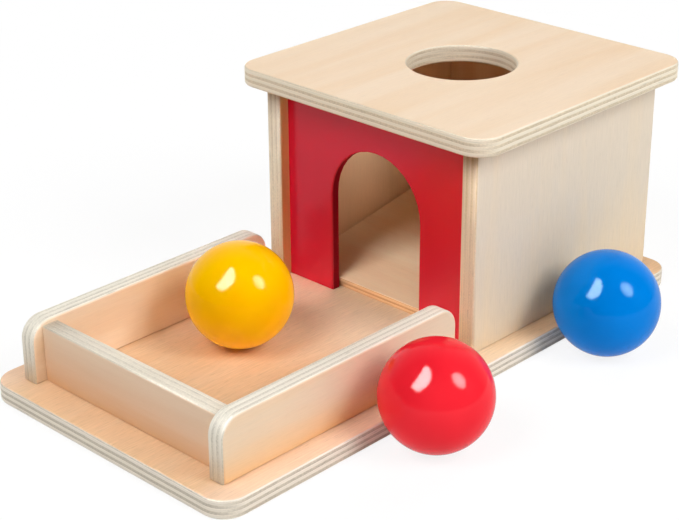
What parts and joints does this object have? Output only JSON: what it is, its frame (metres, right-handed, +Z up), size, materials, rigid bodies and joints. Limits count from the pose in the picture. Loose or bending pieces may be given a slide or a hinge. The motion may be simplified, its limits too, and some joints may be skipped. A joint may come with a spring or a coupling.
{
  "type": "object permanence box",
  "caption": "Wooden object permanence box: a ball dropped through the hole in the house's lid rolls down a ramp, out of an arched doorway and into a railed tray.",
  "frame": {"origin": "middle of the base board's underside", "axes": "+Z up, +Y from the tray towards the back of the house, +X towards the side where the table balls lie"},
  "size_m": [0.1992, 0.308, 0.118],
  "materials": {
    "plywood": "birch plywood, clear matt lacquer",
    "red_lacquer": "satin red lacquer",
    "beech": "raw",
    "zinc_steel": "zinc plated",
    "yellow_paint": "gloss paint",
    "red_paint": "gloss paint",
    "blue_paint": "gloss paint"
  },
  "bodies": {
    "box": {"base_board": "plywood", "tray_rail_left": "plywood", "tray_rail_right": "plywood", "tray_rail_front": "plywood", "house_wall_left": "plywood", "house_wall_right": "plywood", "house_wall_rear": "plywood", "arch_panel": "red_lacquer", "ramp_board": "plywood", "ramp_cleat": "plywood", "lid_board": "plywood", "lid_dowels": "beech", "wall_dowels": "beech", "rail_dowels": "beech", "wall_screws": "zinc_steel", "rail_screws": "zinc_steel"},
    "yellow_ball": {"yellow_ball": "yellow_paint"},
    "red_ball": {"red_ball": "red_paint"},
    "blue_ball": {"blue_ball": "blue_paint"}
  },
  "joints": [
    {"name": "yellow_ball_roll", "type": "slide", "parent": "box", "child": "yellow_ball", "axis": [0, 1, 0], "range_m": [-0.049, 0.046]},
    {"name": "red_ball_roll", "type": "slide", "parent": "box", "child": "red_ball", "axis": [1, 0, 0], "range_m": [0, 0.15]},
    {"name": "blue_ball_roll", "type": "slide", "parent": "box", "child": "blue_ball", "axis": [1, 0, 0], "range_m": [0, 0.15]}
  ]
}
